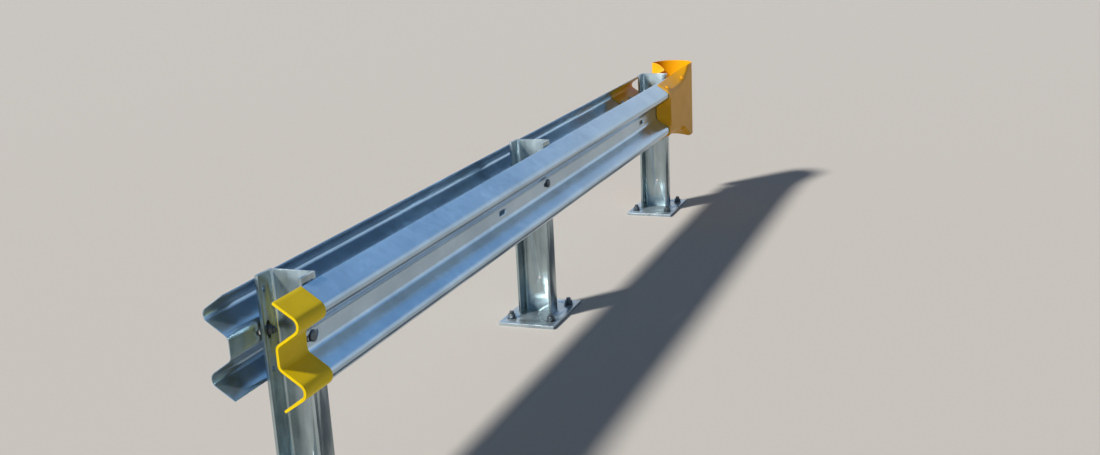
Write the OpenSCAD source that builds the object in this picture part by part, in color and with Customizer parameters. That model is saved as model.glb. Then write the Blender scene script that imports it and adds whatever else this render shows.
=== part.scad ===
// Surface-mounted guardrail, two bays long and double-sided: three channel
// posts on bolted base plates carry a W-section rail on each side. The right
// rail has an end sleeve at the near end and a rounded nose at the far end.
// X runs along the rail to the nose, Y to the left, Z up. The origin is the
// centre of the underside of the middle base plate.

/* [Bays] */
// Distance between two posts
post_spacing = 1905; // [1500:5:2400]

/* [Base plates] */
// Length of a base plate along the rail
plate_l = 360; // [300:5:450]
// Width of a base plate across the rail
plate_w = 250; // [220:5:320]
// Thickness of a base plate
plate_t = 14; // [8:1:25]
// Anchor spacing along the rail
anchor_l = 226; // [200:2:260]
// Anchor spacing across the rail
anchor_w = 180; // [170:5:195]
// Diameter of an anchor hole
anchor_d = 22; // [14:1:28]
// Leg of the fillet weld round a post's foot
weld_leg = 6; // [3:0.5:10]

/* [Posts] */
// Depth of the channel across its flanges
post_w = 150; // [130:1:160]
// Width of a flange
flange_w = 75; // [65:1:90]
// Thickness of a flange
flange_t = 9.5; // [6:0.5:14]
// Thickness of the web
web_t = 6; // [4:0.5:10]
// Root radius between web and flange
root_r = 10; // [4:1:14]
// Height of a post's top above the middle of the left rail
post_rise = 167; // [150:1:220]
// Distance from the middle of a base plate to the back of the web
web_back_x = 10; // [-20:1:40]
// Diameter of the holes in a flange
flange_hole_d = 18; // [12:1:24]
// Distance of the holes from the back of the web
hole_gauge = 50; // [40:1:58]
// Spacing of the holes up the flange
hole_pitch = 121; // [90:1:150]
// Length of the slot that takes the rail bolt
bolt_slot_l = 54; // [30:1:80]
// Diameter of the vent hole in the web
vent_d = 14; // [8:1:30]
// Height of the vent hole above the ground
vent_z = 165; // [80:5:250]

/* [Rails] */
// Height of the W section
beam_h = 311; // [290:1:320]
// Depth of the W section
beam_d = 75; // [72:1:90]
// Thickness of the rail sheet
rail_t = 3; // [2:0.5:5]
// Distance from the middle of the section to a crest
crest_z = 95; // [90:1:100]
// Radius of a crest at the middle of the sheet
crest_r = 25; // [12:1:26]
// Width of the flat along the middle of the valley
valley_flat = 40; // [28:1:48]
// Radius of the bend on each side of the valley's flat
valley_r = 24; // [16:1:32]
// How far the edges of the W section stand off the plane of its valley's back
edge_off = 4; // [0:1:16]
// Height of the middle of the right rail above the ground
right_mid_z = 598; // [560:1:620]
// How much higher the left rail sits than the right
left_rise = 8; // [-15:1:15]
// Length of rail before the first rail bolt, on both sides
near_tail = 173; // [120:1:400]
// Length of the left rail beyond the last rail bolt
left_far_tail = 99; // [90:1:120]
// Length of the right rail beyond the last rail bolt
right_far_tail = 155; // [60:5:200]
// Width of a slot in the rail
rail_slot_w = 20; // [14:1:26]
// Length of a slot in the rail
rail_slot_l = 60; // [40:1:90]
// Distance of the spare slot from the bolt at the end of its bay
spare_slot_x = 500; // [200:10:900]

/* [End sleeve] */
// Length of the end sleeve
sleeve_l = 144; // [80:2:150]
// Thickness of the sleeve and nose sheet
cap_t = 4; // [2:0.5:6]
// How far the sleeve stands out past the rail's end
sleeve_proud = 12; // [5:1:60]

/* [Nose] */
// Distance from the nose's near edge to the last rail bolt
nose_lap = 215; // [150:5:300]
// Length over which the nose's valley closes
valley_close_l = 32; // [20:1:80]
// Straight side of the nose beyond the last rail bolt
nose_side_l = 265; // [240:5:320]
// Distance from the near edge to where the upper fold starts to climb
fold_start_l = 100; // [60:5:160]
// Distance short of the round end where the fold reaches the rim
fold_end_l = 35; // [0:5:80]
// Length over which the left side's lips lean in
lean_l = 28; // [16:1:60]
// How much shorter the nose's lips are than the rail's
lip_trim = 10; // [0:1:30]
// How much wider the lips are round the end than at the near edge
lip_gain = 20; // [0:1:40]
// Distance from the near end of the splice to the last rail bolt
splice_lap = 285; // [200:5:340]
// How far the left rail covers the end of the splice
splice_cover = 2; // [1:1:20]

/* [Fit] */
// Clearance between a rail and a post
seat_gap = 0.3; // [0.1:0.1:1]
// Clearance between a rail and the sleeve, nose or splice against it
lap_gap = 0.3; // [0.1:0.1:1]
// Clearance between the nose's left end and the last post's web
leg_gap = 11; // [6:1:30]

/* [Hidden] */

$fn = 48;
// Overlap that makes a cut pass right through
through = 1;
// Steps in each bend of the W section
bend_steps = 8;

near_x = -post_spacing;
far_x = post_spacing;
// Line of the holes and rail bolts, measured from a plate's middle
bolt_x = web_back_x - hole_gauge;

// Places of the slots in both rails: one at each post and a spare in each bay
slot_places = [
    near_x + bolt_x, bolt_x, far_x + bolt_x,
    bolt_x - spare_slot_x, far_x + bolt_x - spare_slot_x
];

rail_near_x = near_x + bolt_x - near_tail;
sleeve_near_x = rail_near_x - sleeve_proud;
left_mid_z = right_mid_z + left_rise;
post_h = left_mid_z + post_rise - plate_t;
// Back of each rail's valley, measured across from the middle of the posts.
// The left rail stands off the posts by the sheet of the splice.
right_back_y = post_w / 2 + seat_gap;
left_back_y = right_back_y + cap_t + lap_gap;
// Middle of the sleeve and nose sheet, measured from the middle of the rail's
cap_offset = rail_t / 2 + lap_gap + cap_t / 2;

// W section as [point, face normal] pairs along the middle of the sheet, in
// [depth, height]. Each crest is an arc and the valley is a flat between two
// arcs. The slopes touch both arcs. Each lip touches its crest and ends at the tip.
crest_c = [beam_d - rail_t / 2 - crest_r, crest_z];
valley_c = [rail_t / 2 + valley_r, valley_flat / 2];
tip = [edge_off + rail_t / 2, (beam_h - rail_t) / 2];

function angle_of(v) = atan2(v[1], v[0]);
function unit(a) = [cos(a), sin(a)];

lip_a = angle_of(tip - crest_c) - acos(crest_r / norm(tip - crest_c));
slope_a = angle_of(valley_c - crest_c)
    + acos((crest_r + valley_r) / norm(valley_c - crest_c));

crest_arc = [
    for (i = [0:bend_steps])
        let (a = lip_a + (slope_a - lip_a) * i / bend_steps)
        [crest_c + crest_r * unit(a), unit(a)]
];
valley_arc = [
    for (i = [0:bend_steps / 2])
        let (a = slope_a * (1 - 2 * i / bend_steps))
        [valley_c - valley_r * unit(a), unit(a)]
];

function turned(p) = [p[0], -p[1]];
function lower_half(pairs) = [
    for (i = [len(pairs) - 1:-1:0]) [turned(pairs[i][0]), turned(pairs[i][1])]
];
upper = concat([[tip, unit(lip_a)]], crest_arc, valley_arc);
w_section = concat(upper, lower_half(upper));

// Sheet between two offsets from the middle line of the W section
module w_sheet(length, inner, outer) {
    n = len(w_section);
    face = [for (i = [0:n - 1]) w_section[i][0] + outer * w_section[i][1]];
    back = [for (i = [n - 1:-1:0]) w_section[i][0] + inner * w_section[i][1]];
    rotate([90, 0, 90]) linear_extrude(height = length) polygon(concat(face, back));
}

module slot_y(x, z, width, length, along_x) {
    reach = (length - width) / 2;
    for (side = [-1, 1])
        translate([x + (along_x ? side * reach : 0), 0, z + (along_x ? 0 : side * reach)])
            rotate([90, 0, 0]) cylinder(h = 4 * post_w, d = width, center = true);
    translate([x, 0, z])
        cube([along_x ? length - width : width, 4 * post_w, along_x ? width : length - width],
            center = true);
}

module channel_outline() {
    inner_w = post_w - 2 * flange_t;
    translate([-web_t, -post_w / 2]) square([web_t, post_w]);
    for (side = [-1, 1])
        translate([-flange_w, side * (post_w - flange_t) / 2 - flange_t / 2])
            square([flange_w, flange_t]);
    for (side = [-1, 1])
        difference() {
            translate([-web_t - root_r, side > 0 ? inner_w / 2 - root_r : -inner_w / 2])
                square(root_r);
            translate([-web_t - root_r, side * (inner_w / 2 - root_r)]) circle(r = root_r);
        }
}

module post(x) {
    translate([x + web_back_x, 0, 0])
        difference() {
            translate([0, 0, plate_t]) linear_extrude(height = post_h) channel_outline();
            slot_y(-hole_gauge, left_mid_z, flange_hole_d, bolt_slot_l, false);
            for (step = [-1, 1])
                translate([-hole_gauge, 0, left_mid_z + step * hole_pitch])
                    rotate([90, 0, 0]) cylinder(h = 2 * post_w, d = flange_hole_d, center = true);
            translate([-web_t - through, 0, vent_z])
                rotate([0, 90, 0]) cylinder(h = web_t + 2 * through, d = vent_d);
        }
}

module base_plate(x) {
    translate([x, 0, 0])
        difference() {
            translate([-plate_l / 2, -plate_w / 2, 0]) cube([plate_l, plate_w, plate_t]);
            for (sx = [-1, 1], sy = [-1, 1])
                translate([sx * anchor_l / 2, sy * anchor_w / 2, -through])
                    cylinder(h = plate_t + 2 * through, d = anchor_d);
        }
}

// Fillet weld of the given length, along X, with its post face on y = 0
module weld_run(length) {
    rotate([90, 0, 90]) linear_extrude(height = length)
        polygon([[0, 0], [-weld_leg, 0], [0, weld_leg]]);
}

// Mitred end of two runs that meet round a corner of the post at the origin
module weld_corner() {
    intersection() {
        weld_run(weld_leg);
        translate([0, -weld_leg, 0]) rotate([0, 0, 90]) weld_run(weld_leg);
    }
}

// Weld along the outsides of both flanges and the back of the web
module foot_weld(x) {
    translate([x + web_back_x, 0, plate_t]) {
        for (side = [0, 1])
            mirror([0, side, 0])
                translate([0, -post_w / 2, 0]) {
                    translate([-flange_w, 0, 0]) weld_run(flange_w);
                    weld_corner();
                }
        translate([0, -post_w / 2, 0]) rotate([0, 0, 90]) weld_run(post_w);
    }
}

module rail(far_tail, back_y, mid_z) {
    length = far_x + bolt_x + far_tail - rail_near_x;
    difference() {
        translate([rail_near_x, back_y, mid_z]) w_sheet(length, -rail_t / 2, rail_t / 2);
        for (x = slot_places)
            slot_y(x, mid_z, rail_slot_w, rail_slot_l, true);
    }
}

module left_rail() {
    color("lightsteelblue") rail(left_far_tail, left_back_y, left_mid_z);
}

module right_rail() {
    color("lightsteelblue") mirror([0, 1, 0]) rail(right_far_tail, right_back_y, right_mid_z);
}

module end_sleeve() {
    color("gold") mirror([0, 1, 0]) translate([sleeve_near_x, right_back_y, right_mid_z])
        w_sheet(sleeve_l, cap_offset - cap_t / 2, cap_offset + cap_t / 2);
}

module nose_splice() {
    near_end = far_x + bolt_x - splice_lap;
    far_end = far_x + bolt_x + left_far_tail - splice_cover;
    color("orange") translate([near_end, left_back_y, left_mid_z])
        w_sheet(far_end - near_end, -cap_offset - cap_t / 2, -cap_offset + cap_t / 2);
}

// Nose: one sheet that runs in plan along the outside of the right rail, round
// the end, and back along the inside of the splice to the last post. It starts
// as the W section. Its valley closes at once, the folds of its two lips climb
// to the rims, so that it is a plain wall round the end, and on the left side
// the lips lean in again.
lip_tilt = lip_a;
fold_r = crest_r + cap_offset;
lip_foot = crest_c + crest_r * unit(lip_a);
lip_arc_l = fold_r * lip_tilt * PI / 180;
lip_l = lip_arc_l + norm(tip - lip_foot) - lip_trim;

// Middle of the sheet on both sides, across from the middle of the posts
nose_right_y = right_back_y + beam_d + lap_gap + cap_t / 2;
nose_left_y = post_w / 2 + seat_gap - lap_gap - cap_t / 2;
nose_r = (nose_right_y + nose_left_y) / 2;
nose_c = [far_x + bolt_x + nose_side_l, nose_r - nose_right_y];
nose_near_x = far_x + bolt_x - nose_lap;
side_l = nose_lap + nose_side_l;
round_l = nose_r * PI;
leg_l = nose_c[0] - (far_x + web_back_x + leg_gap);

function clamp01(t) = max(0, min(1, t));
function ease(t) = t * t * (3 - 2 * t);

// Length of a lip, from the crest, at a distance along the sheet
function lip_at(s) =
    lip_l + lip_gain * ease(clamp01((s - valley_close_l) / (side_l - valley_close_l)));

// How far the fold has climbed above the crest
function climb(s) =
    s > side_l + round_l ? 0
    : lip_at(s) * pow(clamp01((s - fold_start_l) / (side_l - fold_end_l - fold_start_l)), 3);

// Angle between a lip and the wall
function lean(s) =
    s < side_l ? lip_tilt : lip_tilt * ease(clamp01((s - side_l - round_l) / lean_l));

// Place in plan of the sheet's middle and the direction into the nose
function plan(s) =
    s < side_l ? [[nose_near_x + s, -nose_right_y], [0, 1]]
    : let (a = min(180, (s - side_l) / nose_r * 180 / PI) - 90,
           past = max(0, s - side_l - round_l))
      [nose_c + nose_r * unit(a) + [-past, 0], -unit(a)];

// Upper half of the section as [inward, height] pairs: the face from the
// valley's middle to the crest, then the lip, whose points keep their places
// in the sheet as the fold passes through them
face_steps = 3;
lip_steps = 10;
face = concat(
    [[rail_t / 2 + cap_offset, 0]],
    [for (i = [0:face_steps])
        valley_c - (valley_r - cap_offset) * unit(slope_a * i / face_steps)],
    [for (i = [face_steps:-1:0]) crest_c + fold_r * unit(slope_a * i / face_steps)]
);
crest_out = crest_c[0] + fold_r;

function lip_point(run, rise, tilt) =
    run <= rise ? [0, crest_z + run]
    : let (a = min(tilt, (run - rise) / fold_r * 180 / PI),
           rest = run - rise - fold_r * a * PI / 180)
      [fold_r * (1 - cos(a)) + rest * sin(a),
       crest_z + rise + fold_r * sin(a) + rest * cos(a)];

function upper_section(s) =
    let (closed = clamp01(s / valley_close_l), rise = climb(s), tilt = lean(s))
    concat(
        [for (q = face) [(1 - closed) * (crest_out - q[0]), q[1]]],
        [for (i = [1:lip_steps]) lip_point(lip_at(s) * i / lip_steps, rise, tilt)]
    );

function section(s) =
    let (half = upper_section(s))
    concat([for (i = [len(half) - 1:-1:1]) turned(half[i])], half);

function evenly(from, to, steps) = [for (i = [0:steps - 1]) from + (to - from) * i / steps];
stations = concat(
    evenly(0, valley_close_l, 2),
    evenly(valley_close_l, fold_start_l, 2),
    evenly(fold_start_l, side_l, 12),
    evenly(side_l, side_l + round_l, 20),
    evenly(side_l + round_l, side_l + round_l + lean_l, 5),
    [side_l + round_l + lean_l, side_l + round_l + leg_l]
);

middle = [for (s = stations) let (p = plan(s))
    [for (q = section(s))
        [p[0][0] + q[0] * p[1][0], p[0][1] + q[0] * p[1][1], right_mid_z + q[1]]]];
rows = len(middle);
cols = len(middle[0]);

function cell_normal(i, j) =
    let (n = cross(middle[i + 1][j] - middle[i][j], middle[i][j + 1] - middle[i][j]))
    n / norm(n);
function point_normal(i, j) =
    let (n = cell_normal(min(i, rows - 2), min(j, cols - 2))
           + cell_normal(max(i - 1, 0), min(j, cols - 2))
           + cell_normal(min(i, rows - 2), max(j - 1, 0))
           + cell_normal(max(i - 1, 0), max(j - 1, 0)))
    n / norm(n);

function at(i, j) = i * cols + j;
function quad(a, b, c, d) = [[a, b, c], [a, c, d]];

module nose() {
    outer = [for (i = [0:rows - 1], j = [0:cols - 1])
        middle[i][j] + cap_t / 2 * point_normal(i, j)];
    inner = [for (i = [0:rows - 1], j = [0:cols - 1])
        middle[i][j] - cap_t / 2 * point_normal(i, j)];
    n = rows * cols;
    faces = concat(
        [for (i = [0:rows - 2], j = [0:cols - 2])
            each quad(at(i, j), at(i, j + 1), at(i + 1, j + 1), at(i + 1, j))],
        [for (i = [0:rows - 2], j = [0:cols - 2])
            each quad(n + at(i, j), n + at(i + 1, j), n + at(i + 1, j + 1), n + at(i, j + 1))],
        [for (i = [0:rows - 2])
            each quad(at(i, 0), at(i + 1, 0), n + at(i + 1, 0), n + at(i, 0))],
        [for (i = [0:rows - 2])
            each quad(at(i, cols - 1), n + at(i, cols - 1), n + at(i + 1, cols - 1), at(i + 1, cols - 1))],
        [for (j = [0:cols - 2])
            each quad(at(0, j), n + at(0, j), n + at(0, j + 1), at(0, j + 1))],
        [for (j = [0:cols - 2])
            each quad(at(rows - 1, j), at(rows - 1, j + 1), n + at(rows - 1, j + 1), n + at(rows - 1, j))]
    );
    color("orange") polyhedron(points = concat(outer, inner), faces = faces);
}

module galvanised() { color("silver") children(); }

galvanised() base_plate(near_x);  // near_base_plate
galvanised() base_plate(0);  // mid_base_plate
galvanised() base_plate(far_x);  // far_base_plate
galvanised() post(near_x);  // near_post
galvanised() post(0);  // mid_post
galvanised() post(far_x);  // far_post
galvanised() foot_weld(near_x);  // near_foot_weld
galvanised() foot_weld(0);  // mid_foot_weld
galvanised() foot_weld(far_x);  // far_foot_weld
left_rail();
right_rail();
end_sleeve();
nose_splice();
nose();
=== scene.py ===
# %% [markdown]
# A guardrail section is a few long sheets of steel, bent once and bolted to posts.
# The solid model already has every size. This lesson gives the sheets their smooth
# bends and cut edges, the posts their rounded corners, and adds the bolts. Then each
# finish is built from what it is on the real object: zinc, baked paint and forgings.

import math

import bmesh
import bpy
import numpy as np
from mathutils import Matrix, Vector


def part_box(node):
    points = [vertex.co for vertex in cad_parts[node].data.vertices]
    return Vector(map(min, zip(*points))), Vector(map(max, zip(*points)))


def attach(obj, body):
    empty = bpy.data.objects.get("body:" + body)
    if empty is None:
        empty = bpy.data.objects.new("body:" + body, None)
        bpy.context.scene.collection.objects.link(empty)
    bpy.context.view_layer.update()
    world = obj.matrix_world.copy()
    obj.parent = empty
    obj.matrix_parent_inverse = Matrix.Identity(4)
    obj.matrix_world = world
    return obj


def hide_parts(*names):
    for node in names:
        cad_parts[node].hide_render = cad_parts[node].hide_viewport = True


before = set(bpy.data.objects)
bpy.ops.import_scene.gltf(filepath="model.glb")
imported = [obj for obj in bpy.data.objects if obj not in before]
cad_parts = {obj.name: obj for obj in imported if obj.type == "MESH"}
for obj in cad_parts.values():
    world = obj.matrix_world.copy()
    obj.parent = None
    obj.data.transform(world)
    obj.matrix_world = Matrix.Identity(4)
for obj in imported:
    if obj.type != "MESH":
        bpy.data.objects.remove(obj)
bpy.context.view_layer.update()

# %% [markdown]
# The sizes that several pieces share come first. They are in millimetres, as on a
# workshop drawing, and repeat the sizes of the solids, which this script doesn't
# change. A sheet that laps another is the same line, moved by their thicknesses and
# a small gap.

# %% Shared sizes
MM = 0.001

post_spacing = 1905
post_xs = {"near": -post_spacing, "mid": 0, "far": post_spacing}
post_w, flange_w, flange_t = 150, 75, 9.5
web_back_x, hole_gauge = 10, 50
bolt_x = web_back_x - hole_gauge
far_bolt_x = post_spacing + bolt_x
plate_t = 14

beam_h, beam_d, rail_t, cap_t = 311, 75, 3, 4
right_mid_z, left_mid_z = 598, 606
seat_gap, lap_gap = 0.3, 0.3
right_back_y = post_w / 2 + seat_gap
left_back_y = right_back_y + cap_t + lap_gap
cap_offset = rail_t / 2 + lap_gap + cap_t / 2


def span(node):
    """The first and last x of a node of the solid model, in millimetres."""
    low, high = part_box(node)
    return low[0] / MM, high[0] / MM


print("backs of the rails:", right_back_y, "and", round(left_back_y, 1), "mm from the middle")

# %% [markdown]
# The camera is set before any shape, because every later choice is judged through it.
# The photo was taken from beside the near end, a little above the rail, with the
# camera tilted down and rolled by three degrees. The lens is shifted by four
# hundredths of the frame, because the photo is a crop of a taller one.

# %% Camera
camera_at = np.array([-4780.8, -1891.5, 1749.0]) * MM
yaw, pitch, roll = np.radians([21.015, -16.967, -2.911])
focal_px, photo_w, photo_h = 1240.46, 1100, 455
centre_px = (550.58, 274.08)
sensor_mm, sight_m = 36, 300

ahead = np.array([math.cos(yaw) * math.cos(pitch), math.sin(yaw) * math.cos(pitch), math.sin(pitch)])
level_right = np.array([math.sin(yaw), -math.cos(yaw), 0.0])
level_up = np.cross(level_right, ahead)
right = math.cos(roll) * level_right + math.sin(roll) * level_up
up = -math.sin(roll) * level_right + math.cos(roll) * level_up

camera_data = bpy.data.cameras.new("camera")
camera_data.sensor_width = sensor_mm
camera_data.lens = focal_px * sensor_mm / photo_w
camera_data.shift_x = (photo_w / 2 - centre_px[0]) / photo_w
camera_data.shift_y = (centre_px[1] - photo_h / 2) / photo_w
camera_data.clip_end = sight_m
camera = bpy.data.objects.new("camera", camera_data)
bpy.context.scene.collection.objects.link(camera)
turn = Matrix([[*row] for row in np.array([right, up, -ahead]).T]).to_4x4()
camera.matrix_world = Matrix.Translation(Vector(camera_at)) @ turn
bpy.context.scene.camera = camera
print("lens", round(camera_data.lens, 2), "mm, shift", round(camera_data.shift_y, 4))

# %% [markdown]
# Two helpers serve the world and every material. One adds a node with its settings
# and links. The other turns a colour as it is written on a chart into the linear
# colour that a shader works in.

# %% Helpers for nodes and colours
def add_node(tree, kind, inputs=None, **settings):
    """Adds a node, sets its properties, and links or sets its inputs by name or number."""
    made = tree.nodes.new(kind)
    for key, value in settings.items():
        setattr(made, key, value)
    for key, value in (inputs or {}).items():
        socket = made.inputs[key]
        if isinstance(value, bpy.types.NodeSocket):
            tree.links.new(value, socket)
        else:
            socket.default_value = value
    return made


def linear(hex_colour):
    """An sRGB hex colour as linear red, green and blue, and an alpha of one. A very dark
    share is divided by 12.92. Any other is (share + 0.055) / 1.055, to the power 2.4."""
    parts = [int(hex_colour[i:i + 2], 16) / 255 for i in (1, 3, 5)]
    return [c / 12.92 if c <= 0.04045 else ((c + 0.055) / 1.055) ** 2.4 for c in parts] + [1.0]


print("middle grey #808080 is", round(linear("#808080")[0], 3), "in linear light")

# %% [markdown]
# The floor is one pale plane. The lamp stands where the sun stood, behind the camera's
# left shoulder. It is a few degrees wide, so that the shadows have a soft edge.

# %% Floor and lamp
scene = bpy.context.scene
scene.view_settings.view_transform = "Standard"

reach = 80.0
floor_corners = [(-reach, -reach, 0), (reach, -reach, 0), (reach, reach, 0), (-reach, reach, 0)]
floor_mesh = bpy.data.meshes.new("floor")
floor_mesh.from_pydata(floor_corners, [], [(0, 1, 2, 3)])
floor = bpy.data.objects.new("floor", floor_mesh)
scene.collection.objects.link(floor)

floor_paint = bpy.data.materials.new("pale_floor")
floor_paint.use_nodes = True
floor_shader = floor_paint.node_tree.nodes["Principled BSDF"]
floor_shader.inputs["Base Color"].default_value = linear("#C2C1BF")
floor_shader.inputs["Roughness"].default_value = 0.9
floor_mesh.materials.append(floor_paint)

sun_strength, sun_width_deg = 4.8, 6
sun_travel = Vector((0.62, -0.48, -0.62))
sun_data = bpy.data.lights.new("sun", "SUN")
sun_data.energy = sun_strength
sun_data.color = linear("#FFF6EA")[:3]
sun_data.angle = math.radians(sun_width_deg)
sun = bpy.data.objects.new("sun", sun_data)
scene.collection.objects.link(sun)
sun.rotation_euler = sun_travel.to_track_quat("-Z", "Y").to_euler()
print("the lamp stands", round(math.degrees(math.asin(-sun_travel.normalized().z))), "degrees high")

# %% [markdown]
# Zinc is half a mirror, so it needs something to mirror. Reflections and the camera
# see a backdrop that is pale low down and a soft blue above thirty degrees. That turns
# the rail from blue at the near end to pale at the far end. The light that fills the
# shadows is a separate even tone, and much weaker, so that paint keeps its strength.

# %% World
fill_strength, backdrop_strength = 0.15, 0.95
pale_below, blue_above = 0.27, 0.48  # sines of 16 and 29 degrees above the horizon

world = bpy.data.worlds.new("studio")
scene.world = world
world.use_nodes = True
tree = world.node_tree
tree.nodes.clear()
rays = add_node(tree, "ShaderNodeLightPath").outputs
seen = add_node(tree, "ShaderNodeMath", {0: rays["Is Camera Ray"], 1: rays["Is Glossy Ray"]},
                operation="MAXIMUM")
seen = add_node(tree, "ShaderNodeMath", {0: seen.outputs[0], 1: rays["Is Transmission Ray"]},
                operation="MAXIMUM")
fill = add_node(tree, "ShaderNodeBackground", {"Color": linear("#D3E2FA"), "Strength": fill_strength})
heading = add_node(tree, "ShaderNodeTexCoord").outputs["Generated"]
height = add_node(tree, "ShaderNodeSeparateXYZ", {"Vector": heading}).outputs["Z"]
haze = add_node(tree, "ShaderNodeMapRange",
                {"Value": height, "From Min": pale_below, "From Max": blue_above},
                interpolation_type="SMOOTHSTEP")
sky = add_node(tree, "ShaderNodeMix", {0: haze.outputs[0], 6: linear("#EAF2FB"), 7: linear("#93BDE8")},
               data_type="RGBA")
backdrop = add_node(tree, "ShaderNodeBackground", {"Color": sky.outputs[2], "Strength": backdrop_strength})
mixed = add_node(tree, "ShaderNodeMixShader",
                 {0: seen.outputs[0], 1: fill.outputs[0], 2: backdrop.outputs[0]})
add_node(tree, "ShaderNodeOutputWorld", {"Surface": mixed.outputs[0]})
print("the world has", len(tree.nodes), "nodes")

# %% [markdown]
# Every piece is made in the same way: its points are worked out as arrays, faces join
# neighbouring points, and the object itself stays at the origin, because the scene is
# in the solid model's own frame. All faces are turned outwards, and only edges that
# are corners on the real thing are left sharp.

# %% From points to a piece
def finish_mesh(name, points, faces, sharp_deg=35, slot="", material=None):
    """A mesh object at the origin from points in millimetres, with outward faces and
    smooth shading, except across edges that turn by more than sharp_deg."""
    mesh = bpy.data.meshes.new(name)
    mesh.from_pydata((np.asarray(points) * MM).tolist(), [], faces)
    work = bmesh.new()
    work.from_mesh(mesh)
    bmesh.ops.recalc_face_normals(work, faces=work.faces)
    work.to_mesh(mesh)
    work.free()
    mesh.polygons.foreach_set("use_smooth", np.ones(len(mesh.polygons), dtype=bool))
    mesh.set_sharp_from_angle(angle=math.radians(sharp_deg))
    piece = bpy.data.objects.new(name, mesh)
    scene.collection.objects.link(piece)
    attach(piece, "root")
    if material:
        mesh.materials.append(material)
    return piece


def unit(v):
    """Vectors along the last axis, each divided by its own length."""
    return v / np.maximum(np.linalg.norm(v, axis=-1, keepdims=True), 1e-9)


def normals_of(grid):
    """The cross product of the grid's two directions at each point, made unit length."""
    return unit(np.cross(np.gradient(grid, axis=0), np.gradient(grid, axis=1)))


def strip_faces(rows, cols, closed):
    """Quads between neighbouring rows and columns of a grid, which may close on itself
    across its columns. Point (row, column) has the number row times cols plus column."""
    i = np.arange(rows - 1)[:, None]
    j = np.arange(cols if closed else cols - 1)[None, :]
    k = (j + 1) % cols
    quads = np.stack([i * cols + j, i * cols + k, (i + 1) * cols + k, (i + 1) * cols + j], axis=-1)
    return quads.reshape(-1, 4)


print("a grid of 3 by 4 points makes", len(strip_faces(3, 4, closed=False)), "faces")

# %% [markdown]
# Every sheet on this object is the same thing to a mesh: a middle surface, a normal
# at each of its points, and a thickness. One function turns a grid of such points
# into a closed sheet with half-round long edges and softly bevelled ends.

# %% From a grid to a sheet of steel
def sheet_piece(name, middle, normal, thickness, slot, material, round_steps=3):
    """A closed sheet: each row of the grid becomes a loop that runs out along one face,
    round the far lip in a half circle, back along the other face and round the near lip.
    A half circle's points are the lip plus half the thickness times (cos a times the
    direction out of the lip + sin a times the normal). The edges of the first and the
    last loop are marked for the bevel."""
    half = thickness / 2
    angles = np.radians(np.linspace(90, -90, round_steps + 2)[1:-1])[None, :, None]

    def lip(edge, before, turned):
        out = unit(edge - before)[:, None, :]
        side = turned[:, None, :]
        return edge[:, None, :] + half * (np.cos(angles) * out + np.sin(angles) * side)

    top, bottom = middle + half * normal, middle - half * normal
    far_lip = lip(middle[:, -1], middle[:, -2], normal[:, -1])
    near_lip = lip(middle[:, 0], middle[:, 1], -normal[:, 0])
    loops = np.concatenate([top, far_lip, bottom[:, ::-1], near_lip], axis=1)
    rows, cols, _ = loops.shape
    across = middle.shape[1]

    faces = strip_faces(rows, cols, closed=True).tolist()
    j = np.arange(across - 1)
    back = across + round_steps + (across - 1 - j)
    cap = np.stack([j, j + 1, back - 1, back], axis=-1)
    far_round = [across - 1 + k for k in range(round_steps + 2)]
    near_round = [(2 * across + round_steps - 1 + k) % cols for k in range(round_steps + 2)]
    for base in (0, (rows - 1) * cols):
        faces += (cap + base).tolist()
        faces += [[base + k for k in far_round], [base + k for k in near_round]]

    piece = finish_mesh(name, loops.reshape(-1, 3), faces, slot=slot, material=material)
    mesh = piece.data
    ends = np.empty(2 * len(mesh.edges), dtype=np.int32)
    mesh.edges.foreach_get("vertices", ends)
    row, place = np.divmod(ends.reshape(-1, 2), cols)
    apart = np.abs(place[:, 0] - place[:, 1])
    on_rim = (row[:, 0] == row[:, 1]) & np.isin(row[:, 0], [0, rows - 1]) & (
        (apart == 1) | (apart == cols - 1))
    weight = mesh.attributes.new("bevel_weight_edge", "FLOAT", "EDGE")
    weight.data.foreach_set("value", on_rim.astype(np.float32))
    return piece


def bevel(piece, width, limit="WEIGHT"):
    """Rounds the marked edges, or every edge over thirty degrees, by width millimetres."""
    rounding = piece.modifiers.new("bevel", "BEVEL")
    rounding.width = width * MM
    rounding.segments = 2
    rounding.limit_method = limit
    rounding.angle_limit = math.radians(30)
    rounding.harden_normals = True
    rounding.use_clamp_overlap = True


thin_round, thick_round = 0.7, 1.0
print("cut edges are rounded by", thin_round, "mm on a rail and", thick_round, "mm on a thicker sheet")

# %% [markdown]
# The W section is drawn once, as a line along the middle of the sheet. Each crest is
# an arc, and the valley is a flat between two arcs, joined by the straight lines that
# touch a crest and a valley arc. Rails, sleeve and splice are this line at different
# offsets, so they nest as real ones do.

# %% The W section
crest_z, crest_r, valley_flat, valley_r, edge_off = 95, 25, 40, 24, 4


def bend(centre, radius, start_deg, end_deg, steps):
    """Points centre + radius times (cos a, sin a) and their normals (cos a, sin a)."""
    a = np.radians(np.linspace(start_deg, end_deg, steps))
    direction = np.stack([np.cos(a), np.sin(a)], axis=-1)
    return np.array(centre) + radius * direction, direction


def straight(start, end, direction, steps):
    """Points start + t times (end - start), without both ends, all with one normal."""
    t = np.linspace(0, 1, steps + 2)[1:-1, None]
    return start + t * (end - start), np.repeat(direction[None, :], steps, axis=0)


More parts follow.
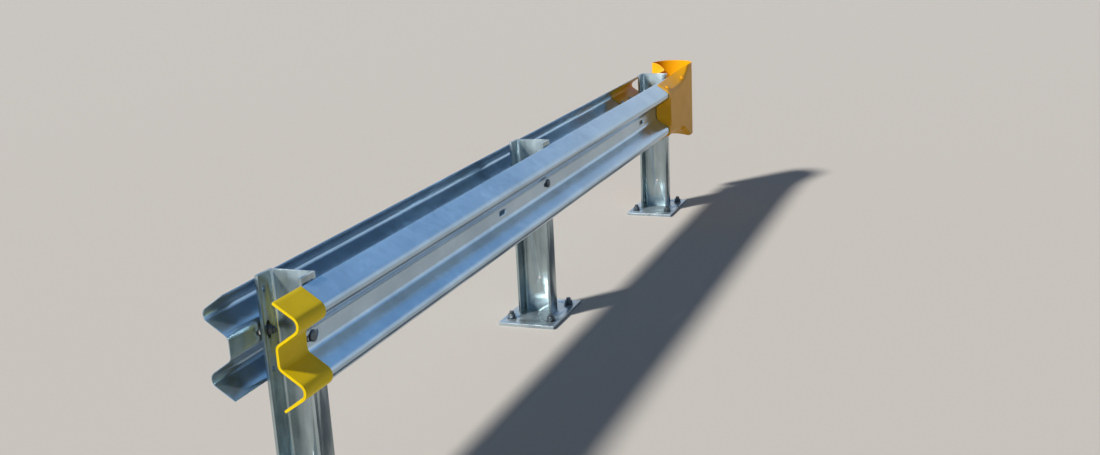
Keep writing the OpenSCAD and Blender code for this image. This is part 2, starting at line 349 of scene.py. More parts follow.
crest_c = np.array([beam_d - rail_t / 2 - crest_r, crest_z])
valley_c = np.array([rail_t / 2 + valley_r, valley_flat / 2])
valley_mid = np.array([rail_t / 2, 0])
lip_tip = np.array([edge_off + rail_t / 2, (beam_h - rail_t) / 2])
to_tip, to_valley = lip_tip - crest_c, valley_c - crest_c
lip_deg = math.degrees(math.atan2(to_tip[1], to_tip[0]) - math.acos(crest_r / np.linalg.norm(to_tip)))
slope_deg = math.degrees(
    math.atan2(to_valley[1], to_valley[0]) + math.acos((crest_r + valley_r) / np.linalg.norm(to_valley)))


def w_line(arc_steps=14, line_steps=5):
    """The W as points [depth, height] and normals, from the upper lip to the lower. The
    lower half is the upper one with its heights turned round."""
    crest, crest_n = bend(crest_c, crest_r, lip_deg, slope_deg, arc_steps)
    lip, lip_n = straight(lip_tip, crest[0], crest_n[0], line_steps)
    valley, valley_n = bend(valley_c, -valley_r, slope_deg, 0, arc_steps // 2 + 1)
    slope, slope_n = straight(crest[-1], valley[0], crest_n[-1], line_steps)
    flat, flat_n = straight(valley[-1], valley_mid, valley_n[-1], 2)
    points = np.concatenate([lip_tip[None], lip, crest, slope, valley, flat, valley_mid[None]])
    normals = np.concatenate([crest_n[:1], lip_n, crest_n, slope_n, valley_n, flat_n, valley_n[-1:]])
    mirror = np.array([1, -1])
    return (np.concatenate([points, points[-2::-1] * mirror]),
            np.concatenate([normals, normals[-2::-1] * mirror]))


print("lip leans", round(90 - lip_deg, 1), "degrees, slope", round(90 + slope_deg, 1))

# %% [markdown]
# A long rolled sheet is never quite flat. Waves a third of a millimetre high bend what
# it mirrors, and so tell the eye that it is thin steel. The W is carried along the
# rail, one row every forty millimetres, with these waves added along its normals.

# %% The W along the rail
wave_lengths, wave_squeeze = (210, 370, 640), 0.7
row_every, fewest_rows = 40, 4


def ripple(x, z, seed, size):
    """A rolled sheet's waviness: the mean of three waves, each a sine along x times a
    cosine along z at seven tenths of its length, size millimetres high."""
    draw = np.random.default_rng(seed)
    total = np.zeros(np.broadcast(x, z).shape)
    for length in wave_lengths:
        shift = draw.uniform(0, 2 * math.pi, 2)
        along = np.sin(2 * math.pi * x / length + shift[0])
        total += along * np.cos(2 * math.pi * z / (length * wave_squeeze) + shift[1])
    return size * total / len(wave_lengths)


def w_grid(x_from, x_to, side, back_y, mid_z, offset, seed, size=0.35):
    """Sweeps the W, moved by offset along its normals, from x_from to x_to. Depth goes
    outwards from back_y, to the left for side 1 and to the right for side -1."""
    line, line_n = w_line()
    line = line + offset * line_n
    x = np.linspace(x_from, x_to, max(fewest_rows, int((x_to - x_from) / row_every)))[:, None]
    wave = ripple(x, line[None, :, 1], seed, size)
    depth = line[None, :, 0] + wave * line_n[None, :, 0]
    height = line[None, :, 1] + wave * line_n[None, :, 1]
    middle = np.stack([x + 0 * depth, side * (back_y + depth), mid_z + height], axis=-1)
    normal = np.stack([0 * depth, side * np.repeat(line_n[None, :, 0], len(x), 0),
                       np.repeat(line_n[None, :, 1], len(x), 0)], axis=-1)
    return middle, normal


print("one row of the W has", len(w_line()[0]), "points")

# %% [markdown]
# The slots are cut with a boolean: a long oval plug is taken out of the sheet at each
# post and once in each bay. A boolean leaves true walls in the hole, which catch the
# light, where a painted dark spot would look flat.

# %% Cutting the slots
rail_slot_l, rail_slot_w, spare_slot_x = 60, 20, 500
plug_depths = (-12, 20)


def oval(length, width, steps=10):
    """The outline of a slot: two half circles of half the width, about points that lie
    (length - width) / 2 from the middle, joined by straight lines."""
    a = np.radians(np.linspace(-90, 90, steps))
    right_end = np.stack([(length - width) / 2 + width / 2 * np.cos(a), width / 2 * np.sin(a)], axis=-1)
    return np.concatenate([right_end, -right_end])


def loft(name, rings, **options):
    """A closed solid through a stack of rings of equal length, with flat ends."""
    rings = np.asarray(rings, dtype=float)
    rows, cols, _ = rings.shape
    faces = strip_faces(rows, cols, closed=True).tolist()
    faces += [list(range(cols)), [(rows - 1) * cols + k for k in range(cols)]]
    return finish_mesh(name, rings.reshape(-1, 3), faces, **options)


def apply_modifiers(piece):
    """Replaces a piece's mesh by the mesh that its modifiers make."""
    depsgraph = bpy.context.evaluated_depsgraph_get()
    made = bpy.data.meshes.new_from_object(piece.evaluated_get(depsgraph))
    piece.modifiers.clear()
    piece.data = made


def cut_slots(piece, xs, side, back_y, mid_z):
    """Takes an oval plug through the sheet's valley at each x."""
    outline = oval(rail_slot_l, rail_slot_w)
    for x in xs:
        rings = [np.stack([x + outline[:, 0], np.full(len(outline), side * (back_y + depth)),
                           mid_z + outline[:, 1]], axis=-1) for depth in plug_depths]
        plug = loft("plug", rings)
        cutting = piece.modifiers.new("slot", "BOOLEAN")
        cutting.object = plug
        cutting.solver = "EXACT"
        apply_modifiers(piece)
        bpy.data.objects.remove(plug)


slot_places = [x + bolt_x for x in post_xs.values()] + [bolt_x - spare_slot_x, far_bolt_x - spare_slot_x]
print("slots at x =", slot_places)

# %% [markdown]
# Hot-dip galvanised steel. The sheet was dipped in molten zinc, which leaves a thin
# coat of crystals, called spangle, over cold grey steel. It is a metal, so its colour
# is mostly what it mirrors: sky on the faces that look up, floor on those that look
# down, and the crest above in each valley. The base colour stays well below white, so
# that a face seen in two mirrors is darker than one seen in one. Where the zinc ran
# off as the steel left the bath it keeps streaks. Crystals are Voronoi cells that
# shift the tone and the roughness a little, and streaks are noise stretched along
# the run. A real grain of a tenth of a millimetre wouldn't show, so it is drawn at 3.

# %% Galvanised steel
def galvanised(name, light, dark, spangle_mm, run_mm, rough, metallic, bump_mm=0.03,
               cloud_mm=190, grain_mm=3, fleck_swing=0.04, gloss_swing=0.06):
    """Zinc on steel: two greys mixed by the sum of streaks and soft clouds, and crystals
    that vary tone and roughness. run_mm gives the size of a streak along x, y and z."""
    material = bpy.data.materials.new(name)
    material.use_nodes = True
    tree = material.node_tree
    shader = tree.nodes["Principled BSDF"]
    place = add_node(tree, "ShaderNodeTexCoord").outputs["Object"]

    stretch = [1 / (size * MM) for size in run_mm]
    along = add_node(tree, "ShaderNodeMapping", {"Vector": place, "Scale": stretch}).outputs[0]
    streaks = add_node(tree, "ShaderNodeTexNoise", {"Vector": along, "Scale": 1.0, "Detail": 3.0})
    clouds = add_node(tree, "ShaderNodeTexNoise",
                      {"Vector": place, "Scale": 1 / (cloud_mm * MM), "Detail": 4.0}).outputs["Fac"]
    crystals = add_node(tree, "ShaderNodeTexVoronoi", {"Vector": place, "Scale": 1 / (spangle_mm * MM)})
    fleck = add_node(tree, "ShaderNodeSeparateColor", {"Color": crystals.outputs["Color"]}).outputs["Red"]

    mixing = add_node(tree, "ShaderNodeMath", {0: streaks.outputs["Fac"], 1: clouds}, operation="ADD")
    level = add_node(tree, "ShaderNodeMapRange",
                     {"Value": mixing.outputs[0], "From Min": 0.7, "From Max": 1.3})
    greys = add_node(tree, "ShaderNodeMix", {0: level.outputs[0], 6: linear(dark), 7: linear(light)},
                     data_type="RGBA")
    flecks = add_node(tree, "ShaderNodeMapRange",
                      {"Value": fleck, "To Min": 1 - fleck_swing, "To Max": 1 + fleck_swing})
    tone = add_node(tree, "ShaderNodeHueSaturation",
                    {"Value": flecks.outputs[0], "Color": greys.outputs[2]})

    uneven = add_node(tree, "ShaderNodeMath", {0: fleck, 1: clouds}, operation="ADD")
    gloss = add_node(tree, "ShaderNodeMapRange",
                     {"Value": uneven.outputs[0], "From Max": 2.0,
                      "To Min": rough - gloss_swing, "To Max": rough + gloss_swing})
    grain = add_node(tree, "ShaderNodeTexNoise",
                     {"Vector": place, "Scale": 1 / (grain_mm * MM), "Detail": 3.0})
    bump = add_node(tree, "ShaderNodeBump",
                    {"Height": grain.outputs["Fac"], "Strength": 0.15, "Distance": bump_mm * MM})

    tree.links.new(tone.outputs[0], shader.inputs["Base Color"])
    tree.links.new(gloss.outputs[0], shader.inputs["Roughness"])
    tree.links.new(bump.outputs[0], shader.inputs["Normal"])
    shader.inputs["Metallic"].default_value = metallic
    return material


# %% [markdown]
# One recipe serves every zinc surface. The rail's thin sheet is the smoothest, with
# soft streaks along it. The channel's streaks run down the post. Plates and weld
# beads are duller, and a screw is plated in a bath of its own, so it is paler.

# %% The zinc of each piece
zinc_rail = galvanised("galvanised_sheet", "#B7CEE0", "#A1B9CD", spangle_mm=26,
                       run_mm=(240, 160, 160), rough=0.17, metallic=0.78)
zinc_post = galvanised("galvanised_channel", "#B5C4C8", "#8C9CA2", spangle_mm=30,
                       run_mm=(30, 30, 300), rough=0.24, metallic=0.86)
zinc_plate = galvanised("galvanised_plate", "#B9C6CD", "#93A3AD", spangle_mm=30,
                        run_mm=(120, 60, 60), rough=0.30, metallic=0.7)
zinc_weld = galvanised("galvanised_bead", "#9AA6AE", "#6F7B85", spangle_mm=9,
                       run_mm=(20, 20, 20), rough=0.36, metallic=0.8, bump_mm=0.2)
zinc_screw = galvanised("zinc_plated_screw", "#C4CCD1", "#A3AEB6", spangle_mm=5,
                        run_mm=(6, 6, 6), rough=0.30, metallic=0.7)
print("zinc of the rail has", len(zinc_rail.node_tree.nodes), "nodes")

# %% [markdown]
# Powder coat. The sleeve and the nose are sprayed with thick polyester powder and
# baked. The film levels out with a fine orange-peel surface, a soft gloss over a
# strong colour. Road dust dulls it in clouds, so that the colour never lies quite
# even. The peel is about two and a half millimetres across, as on the real film.

# %% Powder coat
def powder_coat(name, colour, dusty, rough, cloud_mm=90, most_dust=0.6, peel_mm=2.5,
                peel_depth_mm=0.05):
    """Baked powder: one strong colour with dusty clouds and an orange-peel bump."""
    material = bpy.data.materials.new(name)
    material.use_nodes = True
    tree = material.node_tree
    shader = tree.nodes["Principled BSDF"]
    place = add_node(tree, "ShaderNodeTexCoord").outputs["Object"]

    clouds = add_node(tree, "ShaderNodeTexNoise",
                      {"Vector": place, "Scale": 1 / (cloud_mm * MM), "Detail": 6.0,
                       "Roughness": 0.6}).outputs["Fac"]
    dust = add_node(tree, "ShaderNodeMapRange",
                    {"Value": clouds, "From Min": 0.42, "From Max": 0.75, "To Max": most_dust})
    film = add_node(tree, "ShaderNodeMix", {0: dust.outputs[0], 6: linear(colour), 7: linear(dusty)},
                    data_type="RGBA")
    dull = add_node(tree, "ShaderNodeMapRange",
                    {"Value": clouds, "To Min": rough - 0.08, "To Max": rough + 0.12})
    peel = add_node(tree, "ShaderNodeTexNoise",
                    {"Vector": place, "Scale": 1 / (peel_mm * MM), "Detail": 1.0})
    bump = add_node(tree, "ShaderNodeBump",
                    {"Height": peel.outputs["Fac"], "Strength": 0.25, "Distance": peel_depth_mm * MM})

    tree.links.new(film.outputs[2], shader.inputs["Base Color"])
    tree.links.new(dull.outputs[0], shader.inputs["Roughness"])
    tree.links.new(bump.outputs[0], shader.inputs["Normal"])
    shader.inputs["Specular IOR Level"].default_value = 0.2
    return material


lemon_paint = powder_coat("lemon_powder_coat", "#EBD000", "#DCC008", rough=0.40)
orange_paint = powder_coat("orange_powder_coat", "#F2AF0C", "#E3A41A", rough=0.38)
print("paints:", lemon_paint.name, "and", orange_paint.name)

# %% [markdown]
# The two rails are the same rolled sheet, back to back on the posts, eight millimetres
# apart in height. They could be extruded curves, but only a mesh of our own has the
# waves, the half-round lips and the slots. Each rail has waves of its own.

# %% Rails
rail_sides = {
    "left": (1, left_back_y, left_mid_z),
    "right": (-1, right_back_y, right_mid_z),
}
wave_seeds = {"left": 4, "right": 5}
for name, (side, back_y, mid_z) in rail_sides.items():
    x_from, x_to = span(name + "_rail")
    middle, normal = w_grid(x_from, x_to, side, back_y, mid_z, 0, seed=wave_seeds[name])
    rail = sheet_piece(name + "_rail_sheet", middle, normal, rail_t, "galvanised_rail", zinc_rail)
    bevel(rail, thin_round)
    apply_modifiers(rail)
    cut_slots(rail, slot_places, side, back_y, mid_z)
    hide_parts(name + "_rail")
    print(rail.name, len(rail.data.polygons), "faces")

# %% [markdown]
# The sleeve is a short piece of thicker sheet that hides the right rail's cut end. It
# is the W moved outwards, so that it lies on the rail. It is flatter than the long
# rail, so its waves are half as high.

# %% Sleeve
x_from, x_to = span("end_sleeve")
middle, normal = w_grid(x_from, x_to, -1, right_back_y, right_mid_z, cap_offset, seed=3, size=0.15)
sleeve = sheet_piece("end_sleeve_sheet", middle, normal, cap_t, "lemon_paint", lemon_paint)
bevel(sleeve, thick_round)
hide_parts("end_sleeve")
print(sleeve.name, "is", round(x_to - x_from), "mm long")

# %% [markdown]
# The rail's end under the sleeve is sprayed too, which only the near post shows: its
# flange mirrors its web, and the web mirrors a yellow back. So a film of paint lies on
# the back of the rail's end. At the very end the paint is a lip that fills the mouth of
# the sleeve, because the bright edge there is thicker than one sheet. Both have the
# right rail's waves, so they stay just clear of it.

# %% The painted end of the right rail
film_t, film_gap = 0.4, 0.1
film_offset = -(rail_t / 2 + film_gap + film_t / 2)
x_from, x_to = span("end_sleeve")
middle, normal = w_grid(x_from, x_to, -1, right_back_y, right_mid_z, film_offset,
                        seed=wave_seeds["right"])
sheet_piece("right_rail_end_paint", middle, normal, film_t, "lemon_paint", lemon_paint)

lip_to = span("right_rail")[0] - film_gap
middle, normal = w_grid(x_from, lip_to, -1, right_back_y, right_mid_z, 0, seed=wave_seeds["right"])
end_lip = sheet_piece("right_rail_end_lip", middle, normal, rail_t, "lemon_paint", lemon_paint)
bevel(end_lip, thin_round)
print("the lip fills", round(lip_to - x_from, 1), "mm")

# %% [markdown]
# The splice lies behind the left rail's far end, before the last post. It is the W
# moved inwards, so it sits between the rail and the post's flange.

# %% Splice
x_from, x_to = span("nose_splice")
middle, normal = w_grid(x_from, x_to, 1, left_back_y, left_mid_z, -cap_offset, seed=9, size=0.1)
splice = sheet_piece("nose_splice_sheet", middle, normal, cap_t, "orange_paint", orange_paint)
bevel(splice, thick_round)
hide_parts("nose_splice")
print(splice.name, "is", round(x_to - x_from), "mm long")

# %% [markdown]
# The nose takes the most skill. It is one sheet that is still a W where it laps the
# rail. Within the first 32 millimetres its valley closes to a wall. The folds of the
# two lips then climb until they reach the rims, so that round the end it is a plain
# band. On the left side the lips lean in again at once, and the wall ends behind the
# post. Any point of the sheet is found from two numbers: how far along it is, and how
# far from its middle line. Both run through whole arrays at once.

# %% The nose's sizes
# Along the sheet: the lap over the rail, the stretch in which the valley closes, and
# the straight side past the last bolt. The folds start to climb at fold_start_l and
# reach the rims fold_end_l before the round end. On the left the lips lean in within
# lean_l. The wall ends leg_gap behind the last post's web. The lips are lip_trim
# shorter than the rail's, and gain lip_gain on the way.
nose_lap, valley_close_l, nose_side_l = 215, 32, 265
fold_start_l, fold_end_l, lean_l, leg_gap = 100, 35, 28, 11
lip_trim, lip_gain = 10, 20

lip_tilt = math.radians(lip_deg)
fold_r = crest_r + cap_offset
lip_foot = crest_c + crest_r * np.array([math.cos(lip_tilt), math.sin(lip_tilt)])
lip_l = fold_r * lip_tilt + np.linalg.norm(lip_tip - lip_foot) - lip_trim
nose_right_y = right_back_y + beam_d + lap_gap + cap_t / 2
nose_left_y = post_w / 2 + seat_gap - lap_gap - cap_t / 2
nose_r = (nose_right_y + nose_left_y) / 2
nose_cx, nose_cy = far_bolt_x + nose_side_l, nose_r - nose_right_y
side_l = nose_lap + nose_side_l
round_l = nose_r * math.pi
leg_l = nose_cx - (post_spacing + web_back_x + leg_gap)
print("the nose turns on a radius of", round(nose_r, 1), "mm, and its sheet is",
      round(side_l + round_l + leg_l), "mm long")

# %% [markdown]
# Two small functions shape the lips. One is a smooth step, for whatever starts and
# ends gently. The other folds a lip: sheet steel keeps its length in a bend, so a
# point of the lip is found by walking its own distance through wall, arc and straight.

# %% Folding a lip
def ease(t):
    """A smooth step from 0 to 1: t squared times (3 - 2t), with t kept from 0 to 1."""
    t = np.clip(t, 0, 1)
    return t * t * (3 - 2 * t)


def lip_fold(run, rise, tilt):
    """Where a point of the lip lies, run along it from the crest. Up to rise it is in
    the wall. Then it turns on an arc of fold_r through tilt, and the rest is straight.
    Returns how far inwards and how far above the crest."""
    past = np.maximum(run - rise, 0)
    angle = np.minimum(tilt, past / fold_r)
    rest = past - fold_r * angle
    inward = fold_r * (1 - np.cos(angle)) + rest * np.sin(angle)
    return inward, np.minimum(run, rise) + fold_r * np.sin(angle) + rest * np.cos(angle)


inward, above = lip_fold(lip_l, 0, lip_tilt)
print("a folded lip ends", round(inward, 1), "mm inwards and", round(above, 1), "mm above the crest")

# %% [markdown]
# The grid puts both together. Across the sheet come the face, which flattens as the
# valley closes, and the lips. Along it the cross-section first runs straight, then
# turns about the centre of the round end, and then runs straight back.

# %% The nose as a surface of two parameters
def nose_grid(s, face_steps=14, lip_steps=44):
    """The middle of the sheet at distances s along it. Across it, the columns run from
    the lower rim over the middle line to the upper rim. Round the end a point is the
    centre plus (nose_r minus how far inwards it lies) times (cos, sin) of the turn."""
    s = s[:, None]
    closed = np.clip(s / valley_close_l, 0, 1)
    on_left = s > side_l + round_l
    reach = lip_l + lip_gain * ease((s - valley_close_l) / (side_l - valley_close_l))
    climb = np.clip((s - fold_start_l) / (side_l - fold_end_l - fold_start_l), 0, 1) ** 3
    rise = np.where(on_left, 0, reach * climb)
    tilt = lip_tilt * np.where(s < side_l, 1, ease((s - side_l - round_l) / lean_l))

    valley, _ = bend(valley_c, -(valley_r - cap_offset), 0, slope_deg, face_steps // 2)
    crest, _ = bend(crest_c, fold_r, slope_deg, 0, face_steps // 2)
    face = np.concatenate([[valley_mid + [cap_offset, 0]], valley, crest])
    face_in = (1 - closed) * (crest_c[0] + fold_r - face[None, :, 0])
    face_up = np.repeat(face[None, :, 1], len(s), axis=0)
    lip_in, lip_up = lip_fold(reach * np.linspace(0, 1, lip_steps + 1)[None, 1:], rise, tilt)
    inward = np.concatenate([face_in, lip_in], axis=1)
    upward = np.concatenate([face_up, crest_z + lip_up], axis=1)
    inward = np.concatenate([inward[:, :0:-1], inward], axis=1)
    upward = np.concatenate([-upward[:, :0:-1], upward], axis=1)

    turned = np.clip((s - side_l) / nose_r, 0, math.pi) - math.pi / 2
    past = np.maximum(s - side_l - round_l, 0)
    radius = nose_r - inward
    x = np.where(s < side_l, far_bolt_x - nose_lap + s, nose_cx + radius * np.cos(turned) - past)
    y = nose_cy + radius * np.sin(turned)
    return np.stack([x + 0 * inward, y + 0 * inward, right_mid_z + upward], axis=-1)


round_end = side_l + round_l
marks = (0, valley_close_l, side_l, round_end, round_end + lean_l, round_end + leg_l)
row_counts = (9, 70, 61, 15, 12)
stations = np.unique(np.concatenate(
    [np.linspace(start, end, count) for start, end, count in zip(marks, marks[1:], row_counts)]))
nose_middle = nose_grid(stations)
nose = sheet_piece("nose_sheet", nose_middle, normals_of(nose_middle), cap_t, "orange_paint", orange_paint)
bevel(nose, thick_round)
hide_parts("nose")
print("nose rim from", round(nose_middle[..., 2].min()), "to", round(nose_middle[..., 2].max()), "mm")

# %% [markdown]
# Rolled channels and flame-cut plates have no knife edges. A copy of each solid gets
# its loose triangles merged, its flat faces joined, and a small bevel.

# %% Posts and base plates
post_round, plate_round = 1.6, 1.2
merge_mm, flat_deg = 0.01, 1


def soften(node, width, material):
    """Stands a copy of a node of the solid model in its place, with its edges rounded by
    width millimetres."""
    work = bmesh.new()
    work.from_mesh(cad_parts[node].data)
    bmesh.ops.remove_doubles(work, verts=work.verts, dist=merge_mm * MM)
    bmesh.ops.dissolve_limit(work, angle_limit=math.radians(flat_deg), verts=work.verts, edges=work.edges)
    mesh = bpy.data.meshes.new(node + "_steel")
    work.to_mesh(mesh)
    work.free()
    mesh.polygons.foreach_set("use_smooth", np.ones(len(mesh.polygons), dtype=bool))
    mesh.materials.append(material)
    piece = bpy.data.objects.new(node + "_steel", mesh)
    scene.collection.objects.link(piece)
    bevel(piece, width, limit="ANGLE")
    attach(piece, "root")
    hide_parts(node)
    print(piece.name, len(mesh.polygons), "faces")


for place in post_xs:
    soften(place + "_post", post_round, zinc_post)
    soften(place + "_base_plate", plate_round, zinc_plate)

# %% [markdown]
# A weld bead is a row of small frozen pools. The bead here is a quarter-round carried
# along the foot of the post, whose radius swells and pinches once for each pool.

# %% Weld beads
weld_leg, pool_l = 6, 4.5
swell_mean, swell, unsteady = 0.93, 0.09, 0.05


def foot_path(x, step=1.2, corner_steps=5):
    """Points along the outside of a post's foot and the direction out of the post:
    along one flange, round the back of the web and along the other flange, with the
    direction turning smoothly through each corner."""
    half = post_w / 2
    corners = np.array([[-flange_w, -half], [0, -half], [0, half], [-flange_w, half]])
    outs = np.array([[0, -1], [1, 0], [0, 1]])
    points, directions = [], []
    for k in range(3):
        start, end = corners[k], corners[k + 1]
        count = int(np.linalg.norm(end - start) / step)
        t = np.linspace(0, 1, count)[:, None]
        points.append(start + t * (end - start))
        directions.append(np.repeat(outs[k:k + 1], count, axis=0))
        if k < 2:
            a = np.linspace(0, 1, corner_steps + 2)[1:-1, None] * math.pi / 2
            points.append(np.repeat(end[None], corner_steps, axis=0))
            directions.append(np.cos(a) * outs[k] + np.sin(a) * outs[k + 1])
    points, directions = np.concatenate(points), np.concatenate(directions)
    return points + np.array([x + web_back_x, 0]), directions


def weld_bead(name, x, seed, arc_steps=7):
    """Quarter rounds along the path, closed by the corner where post and plate meet.
    The radius is weld_leg times (0.93 + 0.09 times the cosine of the distance run over
    pool_l, in full turns, + an unsteadiness of up to 0.05)."""
    path, out = foot_path(x)
    run = np.concatenate([[0], np.cumsum(np.linalg.norm(np.diff(path, axis=0), axis=1))])
    wobble = np.random.default_rng(seed).uniform(-unsteady, unsteady, len(run))
    radius = weld_leg * (swell_mean + swell * np.cos(2 * math.pi * run / pool_l) + wobble)[:, None]
    a = np.linspace(0, math.pi / 2, arc_steps)[None, :]
    away, rise = radius * np.sin(a), radius * np.cos(a)
    arc = np.stack([path[:, 0:1] + out[:, 0:1] * away, path[:, 1:2] + out[:, 1:2] * away,
                    plate_t + rise], axis=-1)
    root = np.stack([path[:, 0:1], path[:, 1:2], np.full((len(path), 1), plate_t)], axis=-1)
    return loft(name, np.concatenate([arc, root], axis=1), sharp_deg=50, slot="weld", material=zinc_weld)


for count, (place, x) in enumerate(post_xs.items()):
    bead = weld_bead(place + "_foot_weld_bead", x, seed=count)
    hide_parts(place + "_foot_weld")
    print(bead.name, len(bead.data.polygons), "faces")

# %% [markdown]
# Bolts hold the rails, screws hold the nose, and studs hold the plates. All are turned
# parts: a profile of radii and heights carried round an axis. Nuts are not hexagons
# with flat tops: each is turned after forging, so its corners are cut back in a cone.
# As a surface, its radius is the smaller of a hexagon's and a cone's.

# %% Turned parts
def placed(points, at, axis):
    """Points turned by the rotation that takes +z to axis, and then moved by at."""
    turn = Vector((0, 0, 1)).rotation_difference(Vector(axis)).to_matrix()
    return np.asarray(points) @ np.array(turn).T + np.asarray(at)


def turned_part(profile, steps=40):
    """Rings of a lathe part: each radius times (cos a, sin a), at its height."""
    a = np.linspace(0, 2 * math.pi, steps, endpoint=False)
    profile = np.asarray(profile, dtype=float)
    return np.stack([profile[:, 0:1] * np.cos(a), profile[:, 0:1] * np.sin(a),
                     np.repeat(profile[:, 1:2], steps, axis=1)], axis=-1)


def nut_rings(across, height, base, steps=48):
    """Rings of a nut: at each angle the radius is the hexagon's, half the width across
    the flats over the cosine of the angle to the nearest flat, or the cone's if that
    is smaller."""
    a = np.linspace(0, 2 * math.pi, steps, endpoint=False)
    flat = (across / 2) / np.cos((a + math.pi / 6) % (math.pi / 3) - math.pi / 6)
    corner = across / math.sqrt(3)
    rings = []
    # The cone cuts just inside the flats at both ends, and misses the corners between.
    for z, cone in ((0, across * 0.49), (0.09, corner), (0.91, corner), (1, across * 0.47)):
        r = np.minimum(flat, cone)
        rings.append(np.stack([r * np.cos(a), r * np.sin(a), np.full(steps, base + z * height)], axis=-1))
    return np.array(rings)


def dome(radius, height, steps=8):
    """Radius and height pairs of a button head: a short rim, and over it a quarter
    ellipse, radius times cos a wide and height times (1/4 + 3/4 sin a) high. It stops
    just short of the axis, so that the top is a small flat."""
    a = np.linspace(0, math.pi / 2 * 0.97, steps)
    crown = np.stack([radius * np.cos(a), height * (0.25 + 0.75 * np.sin(a))], axis=-1)
    return np.concatenate([[(radius * 0.96, 0), (radius, height * 0.12)], crown])


def rod(radius, start, end, chamfer=1.2):
    """Radius and height pairs of a bar with a chamfered end, which may point down."""
    shoulder = end - math.copysign(chamfer, end - start)
    return [(radius, start), (radius, shoulder), (radius - chamfer, end)]


def fastener(name, parts, at, axis, slot, material):
    """Joins the rings of several closed solids into one piece, standing at a place."""
    points, faces, base = [], [], 0
    for rings in parts:
        rows, cols, _ = rings.shape
        points.append(placed(rings.reshape(-1, 3), at, axis))
        faces += (strip_faces(rows, cols, closed=True) + base).tolist()
        faces += [[base + k for k in range(cols)], [base + (rows - 1) * cols + k for k in range(cols)]]
        base += rows * cols
    finish_mesh(name, np.concatenate(points), faces, sharp_deg=28, slot=slot, material=material)


sample_nut = nut_rings(24, 13, 0)
widest = 2 * np.linalg.norm(sample_nut[..., :2], axis=-1).max()
print("a nut of 24 mm across the flats is", round(widest, 1), "mm across its corners")

# %% [markdown]
# Galvanised forgings. Bolts and nuts are forged, dipped in zinc and spun while hot, so
# their coat is thin, rough and dark. A rail bolt runs from the rail's valley through
# the post's flange to a washer and nut. Where the left rail has no splice behind it, a
# packing washer fills the gap to the post.

# %% Rail bolts
dark_zinc = galvanised("galvanised_forging", "#6C757C", "#3F484F", spangle_mm=6,
                       run_mm=(8, 8, 8), rough=0.38, metallic=0.8, bump_mm=0.1)

head_r, head_h, bolt_r, sunk = 18, 9, 8, 1
nut_af, nut_h, washer_r, washer_t = 24, 13, 17, 3
packing_r = 22
flange_in_y = post_w / 2 - flange_t


def bolt_parts(grip, past_nut):
    """The rings of a bolt that clamps grip millimetres: head, shank, washer and nut, all
    below the head's seat, with the shank's end past_nut millimetres below the nut."""
    seat = grip + washer_t
    return [
        turned_part(dome(head_r, head_h)),
        turned_part(rod(bolt_r, sunk, -(seat + nut_h + past_nut))[::-1]),
        turned_part([(washer_r, -seat), (washer_r, -grip)]),
        nut_rings(nut_af, nut_h, -(seat + nut_h)),
    ]


for place, x in post_xs.items():
    for side_name, (side, back_y, mid_z) in rail_sides.items():
        rail_out = back_y + rail_t
        fastener(f"{place}_{side_name}_rail_bolt", bolt_parts(rail_out - flange_in_y, past_nut=8),
                 (x + bolt_x, side * rail_out, mid_z), (0, side, 0), "galvanised_post", dark_zinc)
    if place != "far":
        shim = turned_part([(packing_r, 0), (packing_r, left_back_y - post_w / 2)])
        fastener(f"{place}_packing_washer", [shim], (x + bolt_x, post_w / 2, left_mid_z),
                 (0, 1, 0), "galvanised_post", dark_zinc)
print("the right rail's bolts clamp", round(right_back_y + rail_t - flange_in_y, 1), "mm")

# %% [markdown]
# Four studs stand up from the ground through each base plate. Each carries a washer
# and a nut, and a little of its bar is left above them.

# %% Anchor studs
anchor_l, anchor_w = 226, 180
stud_r, stud_chamfer, stud_from, stud_past_nut = 10, 2, 0.5, 12
anchor_nut_af, anchor_nut_h, anchor_washer_r, anchor_washer_t = 30, 17, 20, 3
nut_from = plate_t + anchor_washer_t
stud_to = nut_from + anchor_nut_h + stud_past_nut
stud_parts = [
    turned_part([(anchor_washer_r, plate_t), (anchor_washer_r, nut_from)]),
    nut_rings(anchor_nut_af, anchor_nut_h, nut_from),
    turned_part(rod(stud_r, stud_from, stud_to, stud_chamfer)),
]
plate_corners = [(-1, -1), (-1, 1), (1, -1), (1, 1)]
for place, x in post_xs.items():
    for number, (sx, sy) in enumerate(plate_corners, start=1):
        fastener(f"{place}_anchor_{number}", stud_parts, (x + sx * anchor_l / 2, sy * anchor_w / 2, 0),
                 (0, 0, 1), "galvanised_post", dark_zinc)
print("studs end", stud_to, "mm above the ground")

# %% [markdown]
# The nose's screws stand square to its lips, so their places and directions are read
# from the same surface that made the sheet. They were painted with it.

# %% Screws in the nose
screw_r, screw_h, shank_r, shank_l = 13, 7, 5, 14
nose_screw_runs, columns_from_rim = (52, 315), 23


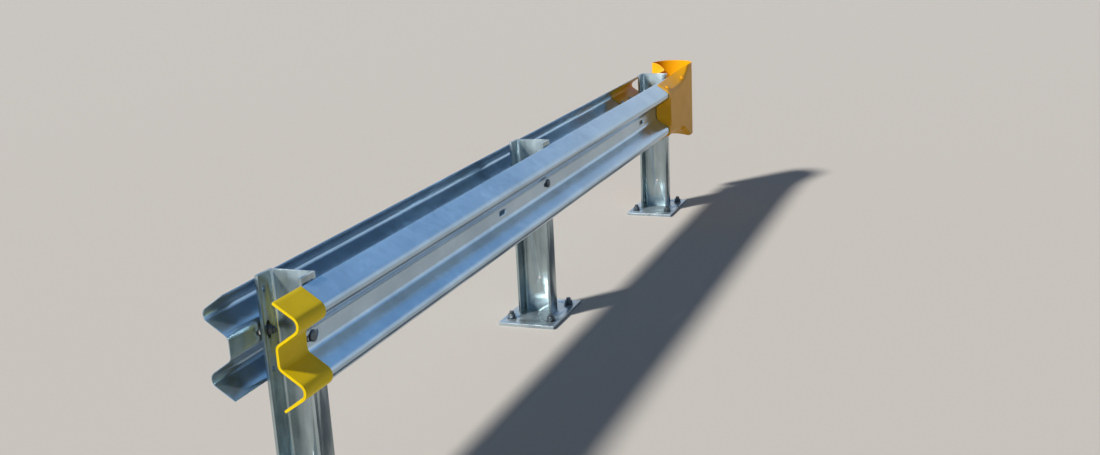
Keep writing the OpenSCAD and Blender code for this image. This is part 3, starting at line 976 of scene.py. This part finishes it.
def on_nose(s, column):
    """A point on the outer face of the nose, half the thickness out along the normal
    from the middle of the sheet, and that normal."""
    local = nose_grid(np.array([s - 1.0, s, s + 1.0]))
    n = normals_of(local)[1, column]
    return local[1, column] + cap_t / 2 * n, n


last_column = nose_middle.shape[1] - 1
nose_screw_columns = {"upper": last_column - columns_from_rim, "lower": columns_from_rim}
for k, s in enumerate(nose_screw_runs, start=1):
    for half, column in nose_screw_columns.items():
        at, axis = on_nose(s, column)
        parts = [turned_part(dome(screw_r, screw_h)), turned_part(rod(shank_r, sunk, -shank_l)[::-1])]
        fastener(f"nose_screw_{half}_{k}", parts, at, axis, "orange_paint", orange_paint)
        print("nose screw at", np.round(at).astype(int), "mm")

# %% [markdown]
# The splice's screws go through the slopes of the left rail. They stand on the outer
# face of its W, square to it, with a nut behind the splice.

# %% Screws in the splice
splice_screw_z, splice_screw_runs = 46, (265, 117)
screw_nut_af, screw_nut_h = 17, 8
stack = rail_t + lap_gap + cap_t
splice_parts = [
    turned_part(dome(screw_r, screw_h)),
    turned_part(rod(shank_r, sunk, -(stack + shank_l))[::-1]),
    nut_rings(screw_nut_af, screw_nut_h, -(stack + screw_nut_h)),
]
line, line_n = w_line()
slope_at = np.argmin(np.abs(line[:, 1] - splice_screw_z))
depth, height = line[slope_at]
for k, run in enumerate(splice_screw_runs, start=1):
    for half, flip in (("upper", 1), ("lower", -1)):
        out = np.array([0, line_n[slope_at, 0], flip * line_n[slope_at, 1]])
        at = np.array([far_bolt_x - run, left_back_y + depth, left_mid_z + flip * height]) + rail_t / 2 * out
        fastener(f"splice_screw_{half}_{k}", splice_parts, at, out, "galvanised_post", zinc_screw)
print("splice screws clamp", round(stack, 1), "mm")

# %% [markdown]
# One more bolt holds the end of the nose's left leg to the left rail, right behind the
# last post.

# %% The bolt in the nose's leg
leg_bolt_in = 18
leg_bolt_x = post_spacing + web_back_x + leg_gap + leg_bolt_in
leg_grip = left_back_y + rail_t - (post_w / 2 - cap_t)
fastener("nose_leg_bolt", bolt_parts(leg_grip, past_nut=6),
         (leg_bolt_x, left_back_y + rail_t, left_mid_z), (0, 1, 0), "galvanised_post", dark_zinc)
print("the leg's bolt clamps", round(leg_grip, 1), "mm")
